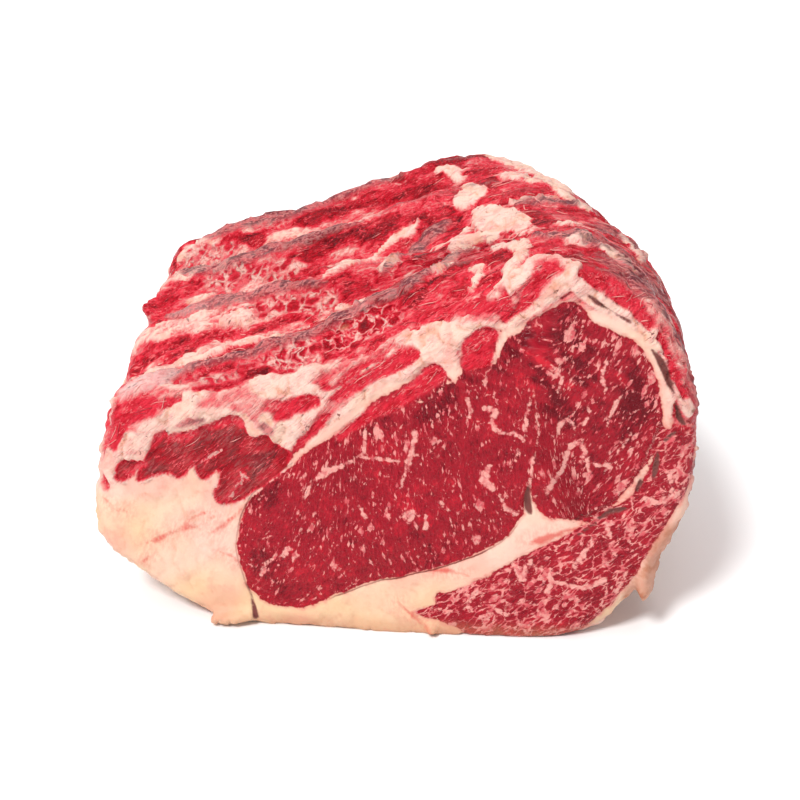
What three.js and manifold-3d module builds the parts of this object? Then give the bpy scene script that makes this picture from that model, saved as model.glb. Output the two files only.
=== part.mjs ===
// A boneless beef ribeye roast, lying on its outer fat side with the rib side up.
// The two ends are straight knife cuts. The rib side keeps the wavy relief left by the ribs: raised
// strips of meat between hollows where the bones lay. Small flaps of fat and meat hang from the edges.
// Millimetres, +X from the thin lip to the thick chine side, +Y from the front cut to the rear cut, +Z up.
import * as THREE from "three";
import Module from "manifold-3d";

const wasm = await Module();
wasm.setup();

// Driving sizes of the roast.
const WIDTH = 250; // lip to chine side at the front cut
const HEIGHT = 161; // from the board to the chine corner at the front cut
const LENGTH = 215; // front cut to rear cut, along the back
const EDGE_ROUND = 9; // how far the cut edges are rounded over
const FRONT_LEAN = Math.tan(THREE.MathUtils.degToRad(8)); // the slumped front cut leans back
const REAR_LEAN = Math.tan(THREE.MathUtils.degToRad(5)); // so does the rear cut, the other way
const REAR_SKEW = 0.1; // the rear cut runs a little aslant, longer on the lip side
const MID_BULGE = 0.02; // how much fatter the roast is half way along
const CHINE_TAPER_LATE = 2.2; // the chine side keeps its height longer than the lip side does
const EYE_SWELL = 3.5; // how far the eye muscle swells out of a cut
const CAP_SWELL = 1.5; // how far the cap muscle does
const RIB_RELIEF = 6; // half the height from a hollow to a crest on the rib side
const LUMPS = 1.2; // unevenness of the whole surface

// Resolution of the solid: steps round a section, along the length, and rings from the middle of a cut to its rim.
const ROUND_STEPS = 96;
const LENGTH_STEPS = 38;
const END_STEPS = 3;
const FRONT_RINGS = 12;
const REAR_RINGS = 7;

// The front cut's outline in shares of WIDTH and HEIGHT, from the lip's tip over the rib side to the chine
// corner, down the chine side and back along the underside.
const FRONT_OUTLINE = [
  [-0.448, 0.28], [-0.437, 0.42], [-0.41, 0.55], [-0.325, 0.61], [-0.214, 0.65], [-0.111, 0.69],
  [-0.003, 0.756], [0.091, 0.818], [0.187, 0.9], [0.275, 0.98], [0.363, 0.985], [0.453, 0.915],
  [0.512, 0.8], [0.543, 0.65], [0.553, 0.5], [0.54, 0.36], [0.497, 0.22], [0.44, 0.09],
  [0.36, 0.0], [0.24, -0.05], [0.091, -0.06], [-0.045, -0.05], [-0.172, -0.02], [-0.285, 0.04],
  [-0.38, 0.125], [-0.433, 0.2],
];

// The rear cut's outline: the same points after the taper towards the loin.
const REAR_OUTLINE = [
  [-0.492, 0.312], [-0.487, 0.45], [-0.45, 0.56], [-0.375, 0.625], [-0.296, 0.7], [-0.199, 0.755],
  [-0.093, 0.82], [0.008, 0.88], [0.096, 0.925], [0.181, 0.935], [0.261, 0.885], [0.331, 0.79],
  [0.386, 0.67], [0.416, 0.525], [0.419, 0.4], [0.411, 0.287], [0.387, 0.175], [0.339, 0.075],
  [0.259, 0], [0.147, -0.04], [0.005, -0.05], [-0.118, -0.04], [-0.242, 0], [-0.357, 0.05],
  [-0.445, 0.137], [-0.482, 0.212],
];

// The muscles of the front cut, in millimetres across and up: the eye, and the cap round its lower right.
const EYE_MUSCLE = [
  [-53, 22], [-55, 45], [-45, 65], [-16, 88], [12, 109], [40, 128], [70, 142], [95, 140], [113, 120],
  [119, 98], [112, 76], [94, 58], [76, 58], [55, 44], [34, 34], [13, 25], [-14, 14], [-40, 11],
];
const CAP_MUSCLE = [
  [20, 11], [40, 25], [62, 38], [84, 50], [105, 66], [117, 88], [124, 112], [134, 84], [126, 52],
  [108, 24], [80, 4], [45, 0],
];

// The middle of a section at the front cut and at the rear cut, where its rings close.
const FRONT_MIDDLE = new THREE.Vector2(10, 72);
const REAR_MIDDLE = new THREE.Vector2(-8, 72);

// The crests of the rib side from the front to the rear: how far along the roast each one lies, at the
// lip's edge, half way up the rib side and where it runs out at the chine.
const FACE_TO_CREST = 75; // the half hollow in front of the first crest is cut off by the front cut
const FULL_GAP = 42; // crests closer than this have a shallower hollow between them
const CREST_ACROSS = [-115, -45, 20];
const CRESTS = [
  [31, 43, 61],
  [94, 97, 79],
  [150, 139, 146],
  [197, 182, 186],
];

// Flaps and tags that the knife left: where each is rooted, where its tip hangs, which way it is broad,
// and how broad and thick it is.
const FLAPS = [
  { root: [-102, 139, 83], tip: [-119, 133, 90], broad: [0, 1, 0], width: 20, thick: 9 },
  { root: [122, 18, 50], tip: [121, 5, 16], broad: [0.3, 1, 0], width: 18, thick: 7 },
  { root: [-44, 3, 6], tip: [-65, -2, 2.2], broad: [0, 1, 0.3], width: 9, thick: 4 },
  { root: [33, 6, 5], tip: [32, -5, 2], broad: [1, 0, 0], width: 8, thick: 3.5 },
  { root: [122, 84, 123], tip: [130, 68, 124], broad: [0, 0.3, 1], width: 13, thick: 6 },
  { root: [-108, 190, 84], tip: [-121, 208, 78], broad: [0, 0.4, 1], width: 18, thick: 8 },
  { root: [98, 170, 46], tip: [104, 188, 22], broad: [0.6, 1, 0], width: 20, thick: 7 },
];

function closedCurve(points) {
  return new THREE.CatmullRomCurve3(points, true, "catmullrom", 0.5);
}

function sectionCurve(shares) {
  return closedCurve(shares.map(([x, z]) => new THREE.Vector3(x * WIDTH, 0, z * HEIGHT)));
}

const frontCurve = sectionCurve(FRONT_OUTLINE);
const rearCurve = sectionCurve(REAR_OUTLINE);

// 0 below a, 1 above b, smooth between.
function ramp(a, b, value) {
  return THREE.MathUtils.smoothstep(value, a, b);
}

// Slow unevenness of the surface, from a few waves that don't line up.
function lumps(x, y, z) {
  const waves = [
    [0.031, 0.047, 0.023, 0.4],
    [-0.052, 0.038, 0.061, 1.9],
    [0.083, -0.066, 0.049, 3.1],
    [0.105, 0.112, -0.091, 5.2],
  ];
  let sum = 0;
  for (const [a, b, c, phase] of waves) sum += Math.sin(a * x + b * y + c * z + phase);
  return (LUMPS * sum) / 2;
}

// Where a crest lies along the roast, at a place across it: a smooth line through its three points.
function crestAt([lip, half, chine], x) {
  const [x0, x1, x2] = CREST_ACROSS;
  const a = (lip * (x - x1) * (x - x2)) / ((x0 - x1) * (x0 - x2));
  const b = (half * (x - x0) * (x - x2)) / ((x1 - x0) * (x1 - x2));
  const c = (chine * (x - x0) * (x - x1)) / ((x2 - x0) * (x2 - x1));
  return a + b + c;
}

// Height of the rib side over its mean, from -1 in a hollow to 1 on a crest: crests fall off steeply
// behind and slope gently in front, and are lower where they run close together.
function ribWave(x, y) {
  const inside = THREE.MathUtils.clamp(x, CREST_ACROSS[0], CREST_ACROSS[2]);
  const crests = CRESTS.map((crest) => crestAt(crest, inside));
  const before = crests[0] - FACE_TO_CREST;
  const after = 2 * crests[3] - crests[2];
  const all = [before, ...crests, after];
  for (let i = 0; i + 1 < all.length; i++) {
    if (y < all[i] || y >= all[i + 1]) continue;
    const gap = all[i + 1] - all[i];
    const along = (y - all[i]) / gap;
    const hollow = 1 - Math.cos(2 * Math.PI * Math.pow(along, 0.8));
    return 1 - hollow * Math.min(1, gap / FULL_GAP);
  }
  return 0;
}

// How strongly the ribs show at a place round the section: only on the rib side, fading at the chine.
function ribStrength(share) {
  const [lipStart, lipFull, chineFade, chineEnd] = [0.02, 0.09, 0.25, 0.35];
  return ramp(lipStart, lipFull, share) * (1 - ramp(chineFade, chineEnd, share));
}

// A point of the outer surface: share goes round the section, along from the front cut to the rear cut,
// and inset pulls it in from the rim.
function surfacePoint(share, along, inset) {
  const front = frontCurve.getPoint(share);
  const rear = rearCurve.getPoint(share);
  const chineSide = ramp(-0.05 * WIDTH, 0.4 * WIDTH, front.x);
  const taper = THREE.MathUtils.lerp(along, Math.pow(along, CHINE_TAPER_LATE), chineSide);
  const p = front.lerp(rear, taper);
  const middle = FRONT_MIDDLE.clone().lerp(REAR_MIDDLE, along);
  const centre = new THREE.Vector3(middle.x, 0, middle.y);
  p.sub(centre).multiplyScalar(1 + MID_BULGE * Math.sin(Math.PI * along)).add(centre);
  return p.addScaledVector(centre.sub(p).normalize(), inset);
}

// Where the two cuts lie along the roast, at a place across and up.
function frontDepth(z) {
  return z * FRONT_LEAN;
}

function rearDepth(x, z) {
  return LENGTH - z * REAR_LEAN - x * REAR_SKEW;
}

// Puts the relief on a point of a section and presses the underside flat against the board.
function relieved(p, along, share, relief) {
  const y = THREE.MathUtils.lerp(frontDepth(p.z), rearDepth(p.x, p.z), along);
  const rib = RIB_RELIEF * ribStrength(share) * ribWave(p.x, y);
  const z = p.z + (rib + lumps(p.x, y, p.z)) * relief;
  return new THREE.Vector3(p.x, y, Math.max(z, 0));
}

// How deep a place of the cut lies inside a muscle's outline, in millimetres, and 0 outside it.
function depthInside(outline, x, z) {
  const place = new THREE.Vector2(x, z);
  let inside = false;
  let nearest = Infinity;
  for (let i = 0; i < outline.length; i++) {
    const a = outline[i];
    const b = outline[(i + 1) % outline.length];
    if (a.y > z !== b.y > z && x < ((b.x - a.x) * (z - a.y)) / (b.y - a.y) + a.x) inside = !inside;
    const side = b.clone().sub(a);
    const share = THREE.MathUtils.clamp(place.clone().sub(a).dot(side) / side.lengthSq(), 0, 1);
    nearest = Math.min(nearest, place.distanceTo(a.clone().addScaledVector(side, share)));
  }
  return inside ? nearest : 0;
}

function muscleOutline(points) {
  const curve = closedCurve(points.map(([x, z]) => new THREE.Vector3(x, z, 0)));
  return curve.getPoints(points.length * 3).slice(1).map((p) => new THREE.Vector2(p.x, p.y));
}

const eye = muscleOutline(EYE_MUSCLE);
const cap = muscleOutline(CAP_MUSCLE);

// How far the meat of the front cut stands out: full over each muscle, nothing on the fat between them.
function frontSwell(x, z) {
  const shoulder = 18; // how wide a muscle's rounded edge is
  const eyePart = EYE_SWELL * ramp(0, shoulder, depthInside(eye, x, z));
  const capPart = CAP_SWELL * ramp(0, shoulder, depthInside(cap, x, z));
  return -(eyePart + capPart);
}

// The rear cut is smaller, so the same muscles swell as one dome.
function rearSwell(x, z) {
  const [reachX, reachZ] = [70, 45];
  const fromMiddle = ((x - REAR_MIDDLE.x) / reachX) ** 2 + ((z - REAR_MIDDLE.y) / reachZ) ** 2;
  return EYE_SWELL * Math.exp(-fromMiddle);
}

// Places along the length: close together at the rounded ends, even between.
function lengthStations() {
  const end = EDGE_ROUND / LENGTH;
  const rounded = Array.from({ length: END_STEPS }, (_, i) => {
    const angle = (Math.PI / 2) * (i / END_STEPS);
    return { along: end * (1 - Math.cos(angle)), inset: EDGE_ROUND * (1 - Math.sin(angle)) };
  });
  const middleSteps = LENGTH_STEPS - 2 * END_STEPS;
  const middle = Array.from({ length: middleSteps + 1 }, (_, i) => {
    return { along: end + (1 - 2 * end) * (i / middleSteps), inset: 0 };
  });
  const mirrored = rounded.map(({ along, inset }) => ({ along: 1 - along, inset }));
  return [...rounded, ...middle, ...mirrored.reverse()];
}

// One ring of a cut, at a share of the way from the cut's middle to its rim.
function cutRing(shares, station, middle, out, swell) {
  return shares.map((share) => {
    const rim = surfacePoint(share, station.along, station.inset);
    const p = new THREE.Vector3(middle.x, 0, middle.y).lerp(rim, out);
    const point = relieved(p, station.along, share, ramp(0.6, 1, out));
    point.y += swell(point.x, point.z) * (1 - Math.pow(out, 6));
    return point;
  });
}

// A solid from a list of rings with the same number of points, closed by one point at either end.
function ringSolid(startPoint, rings, endPoint) {
  const n = rings[0].length;
  const points = [startPoint, ...rings.flat(), endPoint];
  const faces = [];
  const at = (ring, i) => 1 + ring * n + (i % n);
  const last = rings.length - 1;
  for (let i = 0; i < n; i++) {
    faces.push(0, at(0, i + 1), at(0, i));
    faces.push(points.length - 1, at(last, i), at(last, i + 1));
    for (let r = 0; r < last; r++) {
      const [a, b, c, d] = [at(r, i), at(r, i + 1), at(r + 1, i), at(r + 1, i + 1)];
      faces.push(a, b, c, b, d, c);
    }
  }
  const vertProperties = new Float32Array(points.flatMap((p) => [p.x, p.y, p.z]));
  const mesh = new wasm.Mesh({ numProp: 3, vertProperties, triVerts: new Uint32Array(faces) });
  return new wasm.Manifold(mesh);
}

function roastSolid() {
  const shares = Array.from({ length: ROUND_STEPS }, (_, i) => i / ROUND_STEPS);
  const stations = lengthStations();
  const [first, last] = [stations[0], stations[stations.length - 1]];
  const rings = [];
  for (let i = 1; i < FRONT_RINGS; i++) {
    rings.push(cutRing(shares, first, FRONT_MIDDLE, i / FRONT_RINGS, frontSwell));
  }
  for (const { along, inset } of stations) {
    rings.push(shares.map((share) => relieved(surfacePoint(share, along, inset), along, share, 1)));
  }
  for (let i = REAR_RINGS - 1; i > 0; i--) {
    rings.push(cutRing(shares, last, REAR_MIDDLE, i / REAR_RINGS, rearSwell));
  }
  const { x: fx, y: fz } = FRONT_MIDDLE;
  const { x: rx, y: rz } = REAR_MIDDLE;
  const front = new THREE.Vector3(fx, frontDepth(fz) + frontSwell(fx, fz), fz);
  const rear = new THREE.Vector3(rx, rearDepth(rx, rz) + rearSwell(rx, rz), rz);
  return ringSolid(front, rings, rear);
}

// A flap: a flat tongue that thins and narrows from its root to its blunt tip.
function flapSolid({ root, tip, broad, width, thick }) {
  const [lengthSteps, roundSteps] = [6, 12];
  const start = new THREE.Vector3(...root);
  const end = new THREE.Vector3(...tip);
  const forward = end.clone().sub(start).normalize();
  const side = new THREE.Vector3(...broad).projectOnPlane(forward).normalize();
  const up = forward.clone().cross(side);
  const section = (along) => {
    const middle = start.clone().lerp(end, along);
    const blunt = Math.sqrt(1 - along ** 3);
    const half = (width / 2) * blunt;
    const rise = (thick / 2) * blunt;
    return Array.from({ length: roundSteps }, (_, i) => {
      const angle = (2 * Math.PI * i) / roundSteps;
      const p = middle.clone().addScaledVector(side, half * Math.cos(angle));
      return p.addScaledVector(up, rise * Math.sin(angle));
    });
  };
  const rings = Array.from({ length: lengthSteps }, (_, i) => section(i / lengthSteps));
  return ringSolid(start, rings, end);
}

// The fused solid as a three.js geometry, centred over its footprint and standing on the board.
function standingGeometry(solid) {
  const { vertProperties, triVerts } = solid.getMesh();
  const geometry = new THREE.BufferGeometry();
  geometry.setAttribute("position", new THREE.BufferAttribute(vertProperties, 3));
  geometry.setIndex(new THREE.BufferAttribute(triVerts, 1));
  geometry.computeBoundingBox();
  const { min, max } = geometry.boundingBox;
  geometry.translate(-(min.x + max.x) / 2, -(min.y + max.y) / 2, -min.z);
  geometry.computeVertexNormals();
  return geometry;
}

const fused = FLAPS.reduce((solid, flap) => solid.add(flapSolid(flap)), roastSolid());
const meat = new THREE.MeshStandardMaterial({ color: 0xb3263a, roughness: 0.45, metalness: 0 });
const roast = new THREE.Mesh(standingGeometry(fused), meat);
roast.name = "ribeye_roast";

const group = new THREE.Group();
group.add(roast);
export default group;
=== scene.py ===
"""A raw boneless ribeye roast of beef, about four ribs long, lying on its outer fat side with the rib
side up and the front cut towards the viewer. Sizes in this script are millimetres unless they say
otherwise, in the part's own frame: +X towards the chine side, +Y towards the rear cut, +Z up."""
import math

import bmesh
import bpy
import numpy as np
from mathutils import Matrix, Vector, noise
from mathutils.bvhtree import BVHTree
from mathutils.kdtree import KDTree


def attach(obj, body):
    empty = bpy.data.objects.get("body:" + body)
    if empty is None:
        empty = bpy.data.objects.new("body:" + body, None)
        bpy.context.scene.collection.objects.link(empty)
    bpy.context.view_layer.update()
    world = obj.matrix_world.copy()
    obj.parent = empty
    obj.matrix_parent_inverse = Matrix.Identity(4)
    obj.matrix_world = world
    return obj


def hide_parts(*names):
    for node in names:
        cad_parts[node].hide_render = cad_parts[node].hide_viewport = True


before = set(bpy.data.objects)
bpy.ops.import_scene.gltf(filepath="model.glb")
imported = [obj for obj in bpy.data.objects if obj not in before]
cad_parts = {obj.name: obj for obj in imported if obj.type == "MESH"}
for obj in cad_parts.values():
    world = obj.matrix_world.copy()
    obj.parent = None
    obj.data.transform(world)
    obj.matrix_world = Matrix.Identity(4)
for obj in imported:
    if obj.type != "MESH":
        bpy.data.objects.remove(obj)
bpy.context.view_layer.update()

# The camera: the photograph's viewing angle, a little from the right and looking down on the roast, with a
# short telephoto lens.
AZIMUTH = math.radians(5)
ELEVATION = math.radians(27)
CAMERA_DISTANCE = 640
AIM = Vector((10.5, -108, 100))

backwards = Vector((
    math.sin(AZIMUTH) * math.cos(ELEVATION),
    -math.cos(AZIMUTH) * math.cos(ELEVATION),
    math.sin(ELEVATION),
))


def placed(name, data):
    """A new object in the scene that shows this data."""
    made = bpy.data.objects.new(name, data)
    bpy.context.scene.collection.objects.link(made)
    return made


camera = placed("camera", bpy.data.cameras.new("camera"))
camera.data.lens = 72
camera.data.sensor_width = 36
camera.data.shift_y = 0.029
camera.location = (AIM + CAMERA_DISTANCE * backwards) / 1000
camera.rotation_euler = backwards.to_track_quat("Z", "Y").to_euler()
bpy.context.scene.camera = camera

# The studio: a plain white floor and bright even light all round. A strong soft lamp stands in front and
# above, a very wide one over the top, and a small one behind, which makes the wet meat glint.
bpy.context.scene.view_settings.view_transform = "Standard"
world = bpy.data.worlds.new("studio")
world.use_nodes = True
surroundings = world.node_tree.nodes["Background"]
surroundings.inputs["Color"].default_value = (1, 1, 1, 1)
surroundings.inputs["Strength"].default_value = 0.44
bpy.context.scene.world = world


def soft_lamp(name, towards, strength, spread):
    """A far lamp in that direction from the roast, as wide in degrees as spread."""
    lamp = bpy.data.lights.new(name, "SUN")
    lamp.energy = strength
    lamp.angle = math.radians(spread)
    holder = placed(name, lamp)
    holder.location = towards
    holder.rotation_euler = Vector(towards).to_track_quat("Z", "Y").to_euler()


soft_lamp("front lamp", (-0.6, -1.0, 1.5), 2.7, 14)
soft_lamp("top lamp", (-0.3, 0.2, 1.5), 0.9, 60)
soft_lamp("back lamp", (0.15, 0.9, 1.0), 0.5, 9)

FLOOR_METRES = 12
floor_mesh = bpy.data.meshes.new("floor")
floor_corners = [(a * FLOOR_METRES, b * FLOOR_METRES, 0) for a, b in ((-1, -1), (1, -1), (1, 1), (-1, 1))]
floor_mesh.from_pydata(floor_corners, [], [(0, 1, 2, 3)])
floor = placed("floor", floor_mesh)
paint = bpy.data.materials.new("white sweep")
paint.use_nodes = True
paint_shader = paint.node_tree.nodes["Principled BSDF"]
paint_shader.inputs["Base Color"].default_value = (0.92, 0.92, 0.92, 1)
paint_shader.inputs["Roughness"].default_value = 0.9
floor_mesh.materials.append(paint)

# The roast itself: one closed skin over the whole piece of meat. It starts as the frame's solid, smoothed
# and cut into even faces, which are smallest on the front cut and grow towards the back and the underside.
FINE_EDGE = 1.17
NEAR_POINT = np.array([15.0, -380.0, 330.0])
FINE_REACH = 375
SAME_PLACE = 1e-6

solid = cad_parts["ribeye_roast"]


def vectors_of(mesh, name):
    """One vector for each vertex: its place in metres for "co", the way it faces for "normal"."""
    flat = np.empty(len(mesh.vertices) * 3)
    mesh.vertices.foreach_get(name, flat)
    return flat.reshape(-1, 3)


def put_points(mesh, points):
    """The vertices moved to these places in millimetres."""
    mesh.vertices.foreach_set("co", (points / 1000).ravel())
    mesh.update()


def turn_out(mesh):
    """The mesh mirrored in a sphere round NEAR_POINT, so that what is far shrinks. Twice undoes it."""
    away = vectors_of(mesh, "co") * 1000 - NEAR_POINT
    put_points(mesh, NEAR_POINT + away * (FINE_REACH**2 / (away**2).sum(1))[:, None])
    shell = bmesh.new()
    shell.from_mesh(mesh)
    bmesh.ops.reverse_faces(shell, faces=shell.faces)
    shell.to_mesh(mesh)
    shell.free()


def with_modifier(mesh, kind, sizes=(), **settings):
    """A new mesh: the old one with one modifier applied. A node tree's sizes come as pairs."""
    holder = placed("holder", mesh)
    modifier = holder.modifiers.new(kind, kind)
    for name, value in settings.items():
        setattr(modifier, name, value)
    for name, value in sizes:
        modifier[name] = value
    made = bpy.data.meshes.new_from_object(holder.evaluated_get(bpy.context.evaluated_depsgraph_get()))
    bpy.data.objects.remove(holder)
    return made


skin = solid.data.copy()
shell = bmesh.new()
shell.from_mesh(skin)
bmesh.ops.remove_doubles(shell, verts=shell.verts, dist=SAME_PLACE)
shell.to_mesh(skin)
shell.free()
skin = with_modifier(skin, "SUBSURF", levels=2, render_levels=2)
turn_out(skin)
skin = with_modifier(skin, "REMESH", mode="VOXEL", voxel_size=FINE_EDGE / 1000)
turn_out(skin)
skin = with_modifier(skin, "SMOOTH", factor=0.5, iterations=6)
skin.name = "ribeye_roast_skin"

# Where things are on the roast. The front cut is read across and up, the rear cut the same way after the
# taper, and the rib side by which rib mark a place is next to.
CUT_LEAN = math.tan(math.radians(8))
FRONT_FOOT = -109
REAR_LEAN = math.tan(math.radians(5))
REAR_FOOT = 106
REAR_SKEW = 0.1
CORE_HEIGHT = 72

place = vectors_of(skin, "co") * 1000
facing = vectors_of(skin, "normal")
x, y, z = place.T


def ease(low, high, value):
    share = np.clip((value - low) / (high - low), 0, 1)
    return share * share * (3 - 2 * share)


def waves(points):
    """Slow random waves over the points, from -1 to 1, about one unit long."""
    return np.array([noise.noise(point) for point in points.tolist()])


def unevenness(size, shift=0.0, stretch=(1, 1, 1)):
    """Slow random waves of about this size over the skin."""
    return waves(place / np.array(stretch) / size + shift)


behind_front = y - FRONT_FOOT - CUT_LEAN * z
before_rear = REAR_FOOT - y - REAR_LEAN * z - REAR_SKEW * x
front = 1 - ease(3.5, 9, behind_front + 1.5 * unevenness(7))
rear = 1 - ease(3, 8, before_rear + 1.5 * unevenness(7))
around = np.degrees(np.arctan2(z - CORE_HEIGHT, x)) % 360
turn = around + 5 * unevenness(22, 3.0)
above_fat = ease(343, 349, turn + 9 * unevenness(34, 5.0) + 3 * unevenness(9, 6.0))
fat_side = ease(174, 180, turn) * (1 - above_fat)
chine_side = 1 - ease(56, 66, turn) * (1 - above_fat)

# The marks of the four ribs: where each raised strip lies along the roast at the lip, half way up and at
# the chine, and the share of the way from one strip to the next.
STRIPS_ACROSS = np.array([-123, -53, 12])
STRIPS = [(-78, -66, -48), (-15, -12, -30), (41, 30, 37), (88, 73, 77)]
BEFORE_FIRST = 55
PAST_LAST = 45

across = np.clip(x, STRIPS_ACROSS[0], STRIPS_ACROSS[2])
strip_lines = np.array([np.polyval(np.polyfit(STRIPS_ACROSS, strip, 2), across) for strip in STRIPS])
lines = np.vstack([strip_lines[:1] - BEFORE_FIRST, strip_lines, strip_lines[3:] + PAST_LAST])
rib_phase = np.zeros(len(place))
rib_place = np.zeros(len(place))
for strip, (near, far) in enumerate(zip(lines[:-1], lines[1:])):
    between = (y >= near) & (y < far)
    rib_phase[between] = ((y - near) / (far - near))[between]
    rib_place[between] += rib_phase[between] + strip

# The muscles and the fat of the front cut. Outlines and strokes are read across and up on the cut, and the
# third number in a stroke is half its width.
EYE = [
    (-57, 26), (-59, 36), (-57, 49), (-53, 58), (-49, 63), (-37, 73), (-26, 82), (-21, 86), (-12, 92),
    (0, 102), (5, 105), (14, 110), (18, 117), (23, 119), (27, 118), (30, 115), (32, 113), (34, 118),
    (33, 122), (37, 130), (41, 133), (49, 135), (53, 132), (60, 138), (67, 143), (74, 147), (80, 146),
    (84, 140), (90, 137), (97, 134), (103, 131), (109, 124), (113, 112), (116, 95), (113, 85), (108, 77),
    (100, 65), (91, 56), (80, 55), (70, 56), (65, 63), (63, 71), (61, 57), (52, 44), (34, 34), (10, 26),
    (1, 24), (-15, 17), (-30, 10), (-43, 10), (-51, 14), (-55, 18),
]
CAP = [
    (40, -6), (38, 2), (31, 5), (24, 7), (17, 10), (25, 14), (26, 19), (33, 21), (45, 27), (60, 37),
    (70, 43), (82, 50), (91, 56), (97, 60), (104, 66), (109, 74), (113, 85), (117, 95), (121, 108),
    (128, 106), (131, 92), (131, 81), (129, 70), (124, 61), (118, 50), (115, 45), (111, 36), (106, 26),
    (98, 15), (90, 5), (84, -6),
]
LIP_MEAT = [
    (-111, 64), (-107, 72), (-98, 73), (-95, 78), (-91, 84), (-88, 87), (-87, 81), (-86, 85), (-79, 86),
    (-72, 89), (-62, 93), (-57, 93), (-54, 87), (-51, 85), (-46, 86), (-43, 83), (-37, 80), (-37, 75),
    (-40, 71), (-45, 67), (-51, 62), (-62, 55), (-67, 57), (-68, 61), (-66, 65), (-65, 69), (-61, 73),
    (-67, 70), (-71, 66), (-75, 68), (-76, 72), (-79, 70), (-83, 66), (-87, 68), (-93, 67), (-97, 65),
    (-101, 64), (-100, 69), (-102, 68), (-106, 64),
]
NECK_FAT = [
    (10, 124), (16, 127), (23, 131), (26, 134), (32, 134), (37, 137), (44, 138), (51, 137), (50, 135),
    (41, 133), (37, 131), (33, 127), (32, 122), (33, 118), (32, 112), (29, 115), (26, 119), (23, 119),
    (18, 118), (14, 112), (5, 106), (0, 103), (-6, 98), (-12, 93), (-21, 87), (-30, 80), (-26, 86),
    (-23, 90), (-18, 96), (-12, 101), (-5, 107), (2, 111), (11, 117), (17, 121),
]
EYE_LOBES = [
    [(16, 109, 2.4), (20, 113, 3.2), (25, 116, 2.8)],
    [(46, 132, 2.5), (40, 129, 3.4), (37, 122, 3.4), (44, 124, 3.0)],
    [(-16, 87, 1.0), (-6, 95, 1.9), (0, 99, 2.3), (6, 102, 2.3), (13, 107, 2.4)],
]
EYE_DARK = [
    [(30, 111, 2), (26, 105, 4), (20, 100, 4), (16, 96, 2)],
    [(-5, 90, 2), (2, 95, 3.5), (10, 96, 2.5)],
    [(60, 134, 3), (53, 126, 4.5), (46, 119, 4), (38, 114, 3)],
    [(70, 136, 2), (80, 128, 4), (84, 118, 3)],
    [(74, 112, 2), (72, 104, 4), (78, 98, 2)],
    [(104, 118, 3), (106, 104, 4), (100, 92, 2)],
    [(-52, 57, 2), (-46, 62, 3), (-42, 66, 2)],
    [(-48, 34, 3), (-44, 22, 4), (-34, 16, 3)],
]
RED_STRIPS = [
    [(-53, 63, 0.6), (-46, 68, 0.7), (-39, 74, 1.0), (-32, 83, 1.3), (-26, 89, 1.2), (-22, 92, 0.7)],
    [(-41, 94, 1.6), (-37, 97, 3.1), (-32, 100, 3.2), (-26, 101, 2.4)],
    [(-22, 107, 0.9), (-18, 107, 0.7), (-12, 112, 1.1), (-7, 115, 1.3), (-2, 119, 1.3), (3, 122, 1.2)],
    [(-18, 103, 1.3), (-12, 107, 2.1), (-4, 112, 2.5), (3, 116, 2.7), (11, 120, 2.7), (15, 122, 1.5)],
    [(-3, 99, 1.2), (3, 103, 1.5), (8, 106, 2.0), (16, 110, 2.6), (22, 116, 3.1), (25, 116, 1.9)],
    [(11, 103, 1.4), (19, 107, 1.8), (27, 112, 1.4)],
    [(46, 134, 1.6), (41, 131, 3.2), (37, 127, 2.9), (37, 121, 2.9)],
    [(45, 131, 2.1), (44, 124, 2.1)],
    [(112, 134, 1.0), (116, 126, 1.4), (120, 117, 1.5), (124, 109, 1.2)],
    [(26, 137, 1.5), (34, 141, 2.2), (42, 143, 2.4), (47, 144, 1.5)],
    [(49, 142, 1.6), (51, 145, 2.4), (50, 149, 1.8)],
    [(56, 143, 1.4), (59, 147, 2.2), (62, 152, 2.4), (66, 157, 2.2)],
    [(67, 159, 2.0), (71, 159, 1.4)],
    [(83, 158, 2.6), (89, 155, 3.2), (96, 150, 3.2), (102, 145, 2.8), (108, 138, 1.8)],
    [(-113, 91, 2.3), (-109, 88, 3.7), (-110, 82, 2.6), (-111, 78, 1.4)],
    [(-105, 91, 2.2), (-98, 93, 2.0), (-92, 95, 1.3)],
    [(-110, 95, 1.4), (-98, 97, 2.2), (-91, 97, 1.7), (-82, 100, 1.0)],
]
PINK_FILMS = [
    [(-73, 97, 1.1), (-65, 99, 1.7), (-56, 103, 1.6), (-51, 104, 1.0)],
    [(-64, 97, 1.0), (-58, 97, 1.7), (-53, 97, 2.0), (-48, 95, 1.2)],
    [(-23, 98, 2.2), (-17, 101, 2.6), (-11, 104, 1.8)],
    [(-14, 92, 1.0), (-9, 95, 1.7), (-4, 99, 1.2)],
    [(41, 128, 0.8), (44, 124, 1.2), (47, 123, 1.1), (50, 130, 0.8)],
    [(110, 137, 1.2), (115, 130, 2.2), (118.5, 122, 2.2), (122, 112, 2.0), (126, 104, 1.5)],
]
LIP_BRIGHT = [
    [(-93, 81, 1.4), (-91, 84, 1.7), (-88, 85, 0.8)],
    [(-86, 84, 1.2), (-81, 84, 2.1), (-76, 86, 1.7)],
    [(-71, 89, 1.0), (-65, 90, 1.8), (-60, 92, 1.8), (-56, 90, 1.2)],
    [(-106, 67, 1.0), (-98, 71, 1.4)],
]
LIP_DARK = [
    [(-74, 81, 1.4), (-68, 82, 1.9)],
    [(-60, 84, 1.7), (-55, 85, 1.1)],
    [(-71, 70, 1.0), (-61, 73, 2.2), (-53, 75, 2.9), (-46, 74, 2.2)],
    [(-77, 103, 0.5), (-71, 104, 0.8), (-63, 105, 1.1), (-54, 108, 1.1), (-47, 109, 0.8)],
]
DRY_FILMS = [
    [(-84, 87, 1.1), (-78, 90, 1.6), (-72, 92, 1.0)],
    [(-47, 90, 1.4), (-44, 88, 1.4)],
]
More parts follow.
